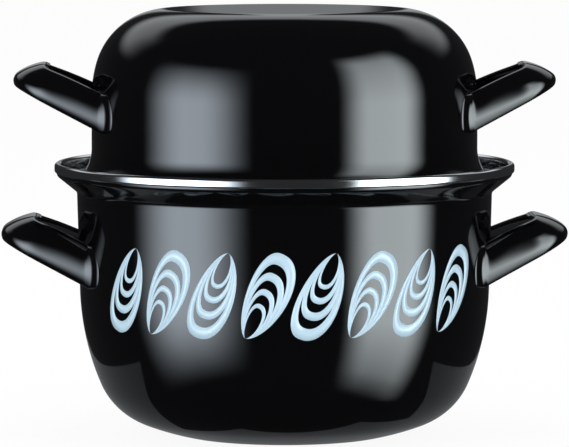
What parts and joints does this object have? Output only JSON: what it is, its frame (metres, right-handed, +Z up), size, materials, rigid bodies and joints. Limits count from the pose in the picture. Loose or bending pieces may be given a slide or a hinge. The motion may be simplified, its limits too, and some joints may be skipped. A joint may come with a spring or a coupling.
{
  "type": "mussel pot",
  "caption": "Deep round enamelled steel cooking pot with a flared, steel-banded rim, a domed lid that rests in the flare and doubles as a bowl, and hollow loop handles on pot and lid.",
  "frame": {"origin": "centre of the standing ring, at table height", "axes": "+Z up along the pot's axis, handles along X, the decorated front towards -Y"},
  "size_m": [0.2968, 0.24, 0.222],
  "materials": {
    "pot_enamel": "gloss black vitreous enamel",
    "lid_enamel": "gloss black vitreous enamel",
    "rim_steel": "polished stainless steel"
  },
  "bodies": {
    "root": {"pot_body": "pot_enamel", "pot_rim_band": "rim_steel", "pot_handle_right": "pot_enamel", "pot_handle_left": "pot_enamel", "lid_body": "lid_enamel", "lid_handle_right": "lid_enamel", "lid_handle_left": "lid_enamel"}
  },
  "joints": []
}
